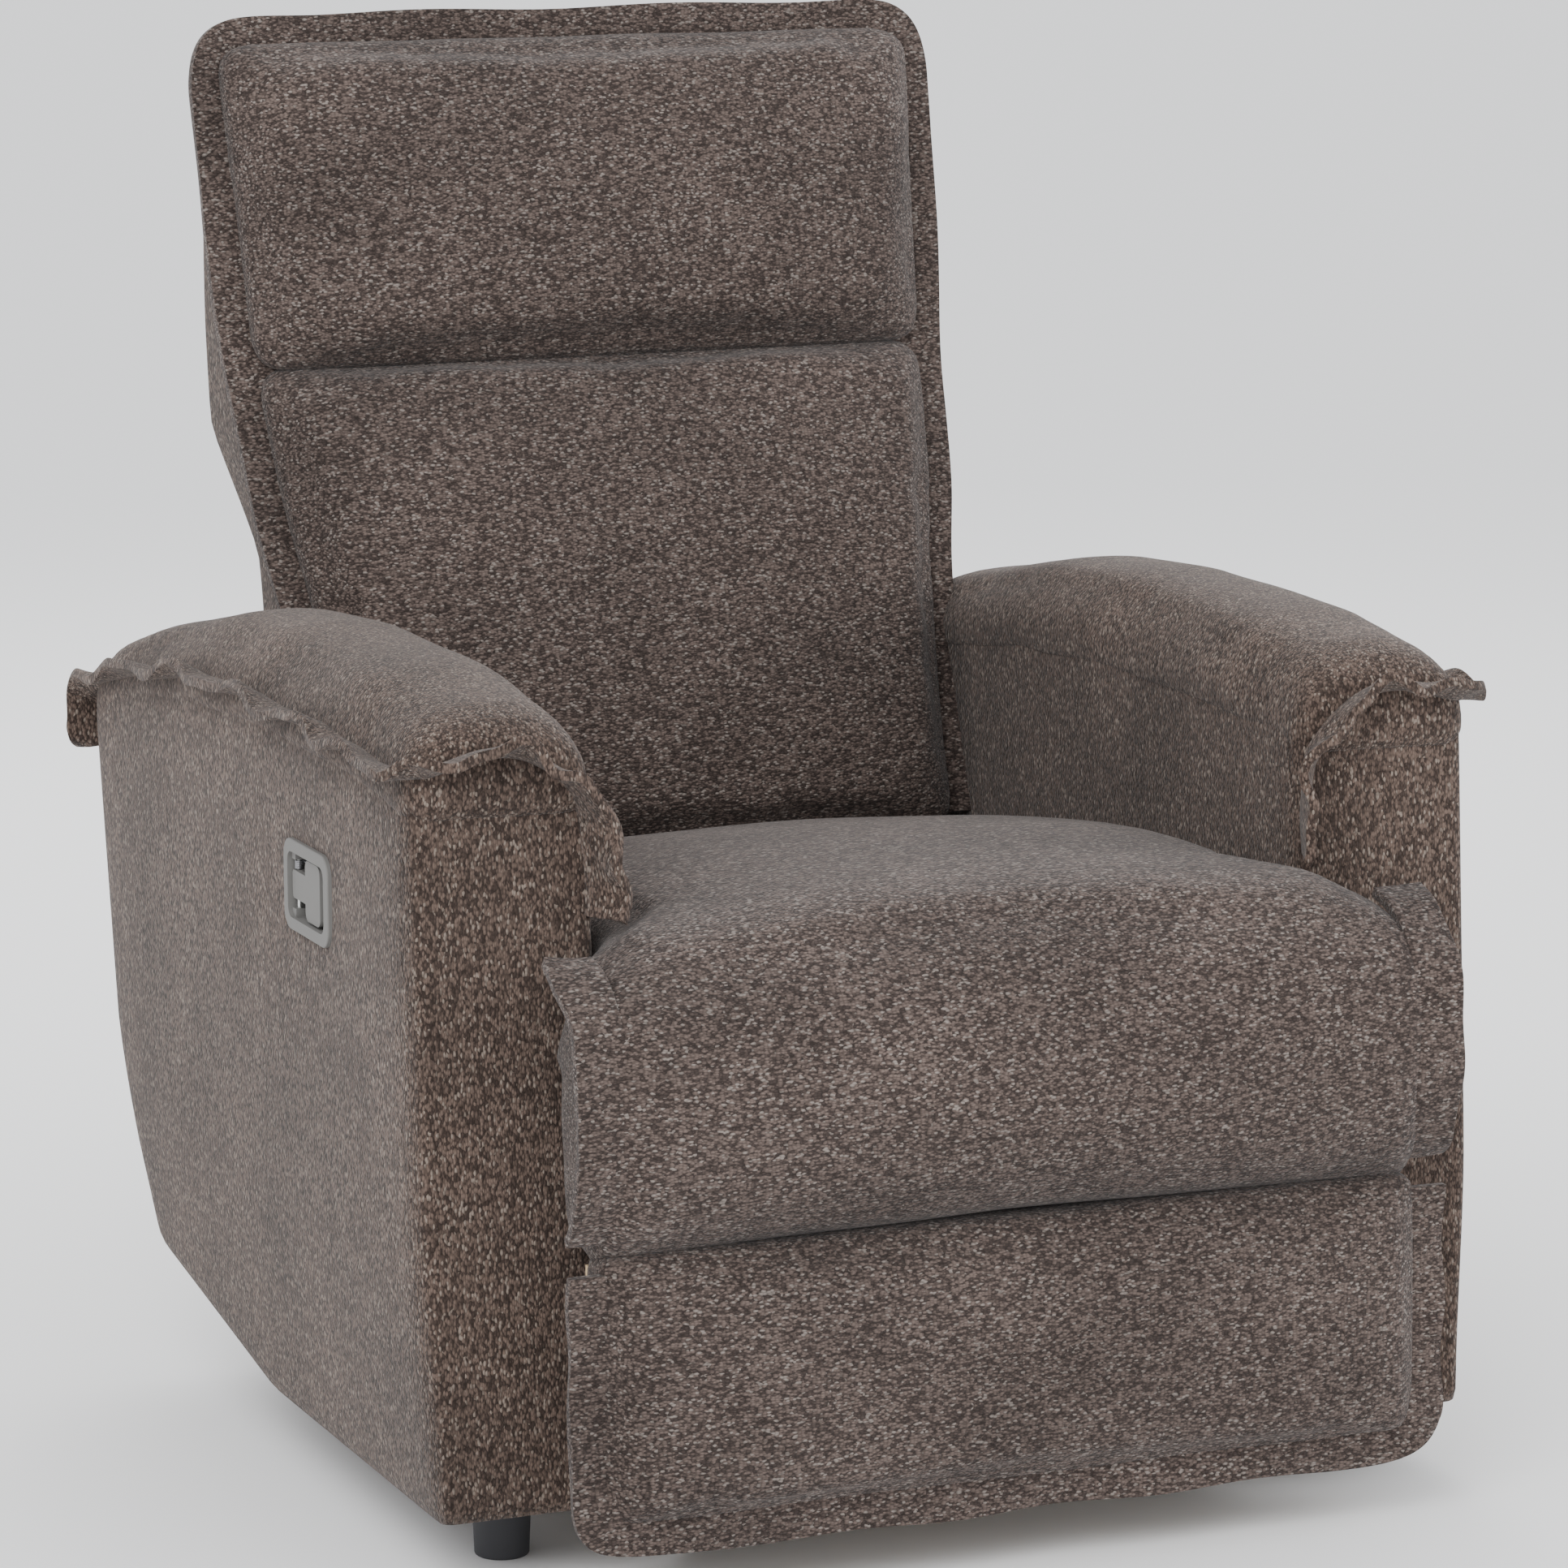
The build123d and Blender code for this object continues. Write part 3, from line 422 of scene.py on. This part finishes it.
def hard(name, colour, scale, spread, gloss, metallic=0.0, stretch=(1, 1, 1), depth=0.0001):
    material, shader, effect, bump = material_base(name, bpy.data.node_groups["Grain"], stretch)
    effect.inputs["Base"].default_value = (*colour, 1)
    effect.inputs["Scale"].default_value = scale
    effect.inputs["Spread"].default_value = spread
    effect.inputs["Gloss"].default_value = gloss
    bump.inputs["Strength"].default_value = 0.4
    bump.inputs["Distance"].default_value = depth
    shader.inputs["Metallic"].default_value = metallic
    return material


HARDWARE = {
    "plywood": ((0.50, 0.35, 0.20), 60, 0.35, 0.6, 0.0, (1, 0.08, 1), 0.0003),
    "timber": ((0.58, 0.42, 0.24), 50, 0.35, 0.6, 0.0, (0.08, 1, 1), 0.0003),
    "dark_plastic": ((0.028, 0.031, 0.033), 900, 0.12, 0.48, 0.0, (1, 1, 1), 0.0001),
    "grey_plastic": ((0.070, 0.066, 0.061), 1100, 0.10, 0.42, 0.0, (1, 1, 1), 0.0001),
    "nylon": ((0.72, 0.71, 0.67), 500, 0.08, 0.45, 0.0, (1, 1, 1), 0.0001),
    "black_steel": ((0.022, 0.022, 0.024), 700, 0.12, 0.38, 0.0, (1, 1, 1), 0.0001),
    "zinc_steel": ((0.62, 0.62, 0.60), 300, 0.20, 0.32, 1.0, (1, 1, 1), 0.0001),
    "spring_steel": ((0.30, 0.30, 0.31), 400, 0.15, 0.35, 1.0, (1, 1, 1), 0.0001),
    "cable_sleeve": ((0.018, 0.018, 0.018), 800, 0.10, 0.50, 0.0, (1, 1, 1), 0.0001),
}


def dress(piece, material, body, *nodes):
    """Give a finished soft piece its fabric and body, and hide the CAD nodes it stands for."""
    piece.data.materials.clear()
    piece.data.materials.append(bpy.data.materials[material])
    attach(piece, body)
    if nodes:
        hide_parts(*nodes)
    return piece


# ---- settings --------------------------------------------------------------------------------
class ReclinerSettings(bpy.types.PropertyGroup):
    """Sizes and colours of the upholstery."""
    yarn: FloatProperty(name="Yarn", description="Width of one yarn", default=0.0017, unit="LENGTH")
    flange: FloatProperty(name="Flange", description="Width of the sewn flanges", default=0.024, unit="LENGTH")
    swell: FloatProperty(name="Swell", description="Furthest a pad swells", default=0.014, unit="LENGTH")
    dark_yarn: FloatVectorProperty(name="Dark yarn", description="Colour of the dark yarns", subtype="COLOR",
                                   default=(0.044, 0.032, 0.028))
    middle_yarn: FloatVectorProperty(name="Middle yarn", description="Colour of most yarns", subtype="COLOR",
                                     default=(0.128, 0.096, 0.083))
    pale_yarn: FloatVectorProperty(name="Pale yarn", description="Colour of the pale flecks", subtype="COLOR",
                                   default=(0.205, 0.174, 0.155))


# ---- operators -------------------------------------------------------------------------------
class RECLINER_OT_finishes(bpy.types.Operator):
    """Make the fabric and hardware finishes and put them on the hard pieces"""
    bl_idname = "recliner.finishes"
    bl_label = "Finishes"

    def execute(self, context):
        chenille_group()
        grain_group()
        fabric("fabric_level", (0.62, 1.0, 1.15), (1.0, 1.0, 1.0))
        # Upright copy: yarns run another way, and its colours carry a painted warm light tint; the real fabric
        # matches the level copy.
        fabric("fabric_upright", (1.1, 1.1, 0.55), (1.06, 1.0, 0.93))
        for slot_name, look in HARDWARE.items():
            colour, scale, spread, gloss, metallic, stretch, depth = look
            hard(slot_name, colour, scale, spread, gloss, metallic, stretch, depth)
        slots = {entry["node"]: entry["material_slot"] for entry in frame["record"]["subparts"]}
        for node, slot_name in slots.items():
            if slot_name in HARDWARE:
                piece = frame["nodes"][node]
                for index in range(len(piece.material_slots)):
                    piece.material_slots[index].material = bpy.data.materials[slot_name]
        return {"FINISHED"}


def back_point(x, z, forward):
    """Point in front of the back's flange plane, in mm."""
    return (x, level(BACK_PLANE, z) - forward, z)


class RECLINER_OT_back_pads(bpy.types.Operator):
    """Lumbar and headrest pads, with the flange sewn round them"""
    bl_idname = "recliner.back_pads"
    bl_label = "Back pads"

    def execute(self, context):
        settings = context.scene.recliner
        pads = (("lumbar_pad", 384, 754, 40, 24), ("headrest_pad", 750, 996, 40, 22))
        for name, low, high, depth, radius in pads:
            tall = (high - low) / 2

            def place(a, b, c):
                a, b, c = rounded(a, b, c, (270, 44, tall), radius)
                z = mix(low, high, (c + 1) / 2)
                full = (1 - abs(a) ** 4) * (1 - abs(c) ** 3)
                front = 8 + depth * (0.45 + 0.55 * full)
                return back_point(a * level(BACK_SEAM_HALF, z), z, mix(front, -14, (b + 1) / 2))

            piece = block_piece(name, 44, place)
            puff(piece, settings.swell)
            smooth_skin(piece)
            pucker(piece, 2.2, 9)
            dress(piece, "fabric_level", "back", name)
        width = settings.flange / MM
        right = [((level(BACK_SEAM_HALF, z), level(BACK_PLANE, z), z), (1, 0, 0))
                 for z in (392, 440, 490, 540, 590, 640, 690, 740, 790, 840, 890, 940)]
        corner = [((282, level(BACK_PLANE, 968), 968), (1, 0, 0.15)),
                  ((274, level(BACK_PLANE, 988), 988), (0.7, 0.1, 0.7)),
                  ((252, level(BACK_PLANE, 994), 994), (0.1, 0.2, 1))]
        top = [((x, level(BACK_PLANE, 994), 994), (0, 0.2, 1)) for x in (200, 150, 100, 50, 0)]
        half = right + corner + top
        whole = half + [((-p[0], p[1], p[2]), (-o[0], o[1], o[2])) for p, o in reversed(half[:-1])]
        piece = ribbon("back_flange", whole, width, 0.9, 7, thickness=8, seed=0.7, tuck=24)
        dress(piece, "fabric_level", "back")
        return {"FINISHED"}


class RECLINER_OT_casing(bpy.types.Operator):
    """Outside back, and the panel between the arms under it"""
    bl_idname = "recliner.casing"
    bl_label = "Back casing"

    def execute(self, context):
        def casing(a, b, c):
            a, b, c = rounded(a, b, c, (284, 60, 311), 13)
            z = mix(277, 899, (c + 1) / 2)
            full = (1 - a ** 6) * (1 - c ** 6)
            rear = level(CASING_REAR, z) + 2 * full
            return (a * level(CASING_HALF, z), mix(level(CASING_FRONT, z), rear, (b + 1) / 2), z)

        piece = block_piece("back_casing_cover", 40, casing)
        smooth_skin(piece, 3)
        pucker(piece, 1.2, 7)
        dress(piece, "fabric_upright", "back", "back_casing")

        def valance(a, b, c):
            a, b, c = rounded(a, b, c, (262, 6, 91), 4)
            z = mix(100, 282, (c + 1) / 2)
            rear = level([(100, 300), (172, 336), (268, 375), (282, 376)], z)
            return (a * 262, rear - 6 + b * 5.5, z)

        piece = block_piece("rear_valance_cover", 24, valance)
        smooth_skin(piece, 2)
        dress(piece, "fabric_upright", "base", "rear_valance")
        return {"FINISHED"}


class RECLINER_OT_seat(bpy.types.Operator):
    """Seat cushion that runs over the front roll, with its side flanges"""
    bl_idname = "recliner.seat"
    bl_label = "Seat"

    def execute(self, context):
        settings = context.scene.recliner

        def place(a, b, c):
            a, b, c = rounded(a, b, c, (280, 330, 44), 16)
            along = (1 - b) / 2
            skin, lining = run(SEAT_SKIN, along), run(SEAT_LINING, along)
            span = run([(value,) for value in SEAT_SPAN], along)[0]
            drop = 20 * abs(a) ** 3
            part = (c + 1) / 2
            y = mix(lining[0], skin[0] + drop * 0.35 * ease(-300, -470, skin[0]), part)
            z = mix(lining[1], skin[1] - drop * (1 - ease(-400, -470, skin[0])), part)
            return (a * span, y, z)

        piece = block_piece("seat_cushion_cover", 56, place)
        puff(piece, settings.swell * 0.6)
        smooth_skin(piece)
        pucker(piece, 2.0, 8)
        dress(piece, "fabric_level", "seat", "seat_cushion")
        for side_name, side in SIDES:
            stations = [((side * 303, y, z), (side, 0, 0)) for y, z in
                        ((-392, 440), (-420, 432), (-444, 410), (-456, 380), (-460, 345), (-457, 310),
                         (-446, 280), (-432, 260))]
            piece = ribbon(f"seat_flange_{side_name}", stations, settings.flange / MM, 2.2, 2.4,
                           thickness=8, seed=1.3 * side, tuck=12)
            dress(piece, "fabric_level", "seat")
        return {"FINISHED"}


class RECLINER_OT_footrest(bpy.types.Operator):
    """Footrest pad with its flange on three edges"""
    bl_idname = "recliner.footrest"
    bl_label = "Footrest"

    def execute(self, context):
        settings = context.scene.recliner

        def place(a, b, c):
            a, b, c = rounded(a, b, c, (306, 30, 92), 12)
            z = mix(62, 249, (c + 1) / 2)
            full = (1 - abs(a) ** 5) * (1 - abs(c) ** 4)
            front = -443 - 17 * full
            return (a * 305, mix(front, -402, (b + 1) / 2), z)

        piece = block_piece("footrest_pad_cover", 44, place)
        puff(piece, settings.swell * 0.5)
        for vertex in piece.data.vertices:
            vertex.co.y = min(vertex.co.y, -0.4005)
        smooth_skin(piece)
        pucker(piece, 1.8, 8)
        dress(piece, "fabric_level", "footrest", "footrest_pad")
        edge_y = -440
        side_line = [((302, edge_y + 4, z), (1, 0, 0)) for z in (238, 205, 170, 135, 100)]
        corner = [((301, edge_y, 78), (1, 0, -0.3)), ((290, edge_y, 68), (0.5, 0, -0.9))]
        bottom = [((x, edge_y, 66), (0, 0, -1)) for x in (250, 190, 130, 65, 0)]
        half = side_line + corner + bottom
        whole = half + [((-p[0], p[1], p[2]), (-o[0], o[1], o[2])) for p, o in reversed(half[:-1])]
        piece = ribbon("footrest_flange", whole, settings.flange / MM, 2.2, 7, thickness=7, seed=2.2, tuck=12)
        dress(piece, "fabric_level", "footrest")
        return {"FINISHED"}


class RECLINER_OT_arms(bpy.types.Operator):
    """Arm covers, arm pads and their ruffled flanges"""
    bl_idname = "recliner.arms"
    bl_label = "Arms"

    def execute(self, context):
        settings = context.scene.recliner
        for side_name, side in SIDES:
            def cover(a, b, c):
                a, b, c = rounded(a, b, c, (67, 380, 250), 11)
                y = mix(-350, 400, (b + 1) / 2)
                for attempt in range(4):
                    z = mix(level(ARM_UNDER, y), level(ARM_SEAM, y), (c + 1) / 2)
                    y = mix(level(ARM_FRONT, z), level(ARM_REAR, z), (b + 1) / 2)
                near_handle = math.exp(-((y + 125) / 110) ** 2 - ((z - 446) / 80) ** 2)
                swell = 5 * (1 - abs(c) ** 4) * (1 - b ** 6) * (1 - near_handle * (side < 0))
                tuck = 9 * ease(250, 50, z)
                outer = 397.4 + swell - tuck
                return (side * mix(264.5, outer, (a + 1) / 2), y, z)

            piece = block_piece(f"arm_cover_skin_{side_name}", 40, cover)
            smooth_skin(piece, 2)
            start_alone()
            if side < 0:
                low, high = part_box("handle_plate")
                bpy.ops.mesh.primitive_cube_add(size=1)
                cutter = named("pocket_cutter")
                wide, tall, deep = 0.0842, 0.0522, 0.060
                for vertex in cutter.data.vertices:
                    vertex.co = Vector((vertex.co.x * deep - 0.3982, vertex.co.y * wide + (low.y + high.y) / 2,
                                        vertex.co.z * tall + (low.z + high.z) / 2))
                cut = piece.modifiers.new("Pocket", "BOOLEAN")
                cut.operation = "DIFFERENCE"
                cut.solver = "EXACT"
                cut.object = cutter
                finish_modifiers(piece)
                bpy.data.objects.remove(cutter)
            dress(piece, "fabric_upright", "base", f"arm_cover_{side_name}")

            def pad(a, b, c):
                a, b, c = rounded(a, b, c, (70, 380, 30), 20)
                y = mix(-336, 414, (b + 1) / 2)
                seam, crown = level(ARM_SEAM, y), level(ARM_CROWN, y)
                arch = math.sqrt(max(0.0, 1 - (abs(a) ** 2.6)))
                top = mix(seam - 6, crown, 0.15 + 0.85 * arch)
                x = mix(263.5, 399, (a + 1) / 2)
                return (side * x, y, mix(seam - 26, top, (c + 1) / 2))

            piece = block_piece(f"arm_pad_skin_{side_name}", 40, pad)
            puff(piece, settings.swell * 0.5)
            smooth_skin(piece)
            pucker(piece, 2.0, 10)
            for vertex in piece.data.vertices:
                if abs(vertex.co.x) < 0.2632:
                    vertex.co.x = side * 0.2632
            dress(piece, "fabric_upright", "base", f"arm_pad_{side_name}")

            rear_lobe = [((side * 388, 412, 462), (side * 0.8, 0.6, 0)),
                         ((side * 391, 415, 478), (side, 0.4, 0.1))]
            side_line = [((side * 393, y, level(ARM_SEAM, y) + 3), (side, 0, 0.25))
                         for y in (414, 369, 319, 269, 208, 146, 90, 36, -30, -91, -132, -173, -224, -275)]
            corner = [((side * 392, -312, 560), (side, -0.25, 0.3)),
                      ((side * 386, -330, 562), (side * 0.7, -0.7, 0.3)),
                      ((side * 370, -337, 568), (side * 0.15, -1, 0.3))]
            front = [((side * x, -337, z), (0, -1, 0.25))
                     for x, z in ((345, 574), (318, 572), (293, 558), (276, 538))]
            inner = [((side * 267, -339, 512), (-side * 0.5, -1, 0)),
                     ((side * 265, -341, 485), (-side * 0.4, -1, 0)),
                     ((side * 266, -343, 458), (-side * 0.4, -1, 0))]
            whole = rear_lobe + side_line + corner + front + inner
            piece = ribbon(f"arm_flange_{side_name}", whole, 24, 5.2, 10, thickness=7, seed=0.4 + side, tuck=12)
            dress(piece, "fabric_upright", "base")
        return {"FINISHED"}


class RECLINER_OT_stage(bpy.types.Operator):
    """Pale floor, soft lights and the camera"""
    bl_idname = "recliner.stage"
    bl_label = "Stage"

    def execute(self, context):
        start_alone()
        bpy.ops.mesh.primitive_plane_add(size=70)
        floor = named("floor")
        pale = bpy.data.materials.new("floor_pale")
        pale.use_nodes = True
        pale.node_tree.nodes["Principled BSDF"].inputs["Base Color"].default_value = (0.93, 0.93, 0.93, 1)
        pale.node_tree.nodes["Principled BSDF"].inputs["Roughness"].default_value = 0.8
        floor.data.materials.append(pale)
        world = bpy.data.worlds.new("studio")
        world.use_nodes = True
        world.node_tree.nodes["Background"].inputs["Color"].default_value = (0.97, 0.98, 1.0, 1)
        world.node_tree.nodes["Background"].inputs["Strength"].default_value = 1.45
        context.scene.world = world
        aim = Vector((0, 0, 0.5))
        lamps = (("key", (-2.2, -2.6, 2.8), 90, 2.2), ("fill", (2.8, -2.2, 1.8), 40, 2.4),
                 ("rear", (0.8, 2.8, 2.8), 55, 2.2))
        for name, place, power, size in lamps:
            lamp = bpy.data.lights.new(name, "AREA")
            lamp.energy = power
            lamp.size = size
            light = bpy.data.objects.new(name, lamp)
            context.scene.collection.objects.link(light)
            light.location = place
            light.rotation_euler = (aim - Vector(place)).to_track_quat("-Z", "Y").to_euler()
        turn, pitch, roll = (math.radians(angle) for angle in (22.51, 10.42, -0.19))
        back = Vector((-math.sin(turn) * math.cos(pitch), -math.cos(turn) * math.cos(pitch), math.sin(pitch)))
        right = Vector((math.cos(turn), -math.sin(turn), 0))
        up = back.cross(right)
        axes = Matrix((right, up, back)).transposed().to_4x4() @ Matrix.Rotation(roll, 4, "Z")
        camera_data = bpy.data.cameras.new("camera")
        camera_data.sensor_width = 36
        camera_data.lens = 142
        camera = bpy.data.objects.new("camera", camera_data)
        context.scene.collection.objects.link(camera)
        camera.matrix_world = Matrix.Translation((-1.7050, -4.1382, 1.2949)) @ axes
        context.scene.camera = camera
        return {"FINISHED"}


STEPS = ("finishes", "back_pads", "casing", "seat", "footrest", "arms", "stage")


class RECLINER_PT_panel(bpy.types.Panel):
    """Steps that build the recliner"""
    bl_idname = "RECLINER_PT_panel"
    bl_label = "Recliner"
    bl_space_type = "VIEW_3D"
    bl_region_type = "UI"
    bl_category = "Recliner"

    def draw(self, context):
        for name in ("yarn", "flange", "swell", "dark_yarn", "middle_yarn", "pale_yarn"):
            self.layout.prop(context.scene.recliner, name)
        for step in STEPS:
            self.layout.operator(f"recliner.{step}")


CLASSES = (ReclinerSettings, RECLINER_OT_finishes, RECLINER_OT_back_pads, RECLINER_OT_casing, RECLINER_OT_seat,
           RECLINER_OT_footrest, RECLINER_OT_arms, RECLINER_OT_stage, RECLINER_PT_panel)


def register():
    for cls in CLASSES:
        bpy.utils.register_class(cls)
    bpy.types.Scene.recliner = PointerProperty(type=ReclinerSettings)


def unregister():
    del bpy.types.Scene.recliner
    for cls in reversed(CLASSES):
        bpy.utils.unregister_class(cls)


def main():
    register()
    for step in STEPS:
        getattr(bpy.ops.recliner, step)()


if __name__ == "__main__":
    main()
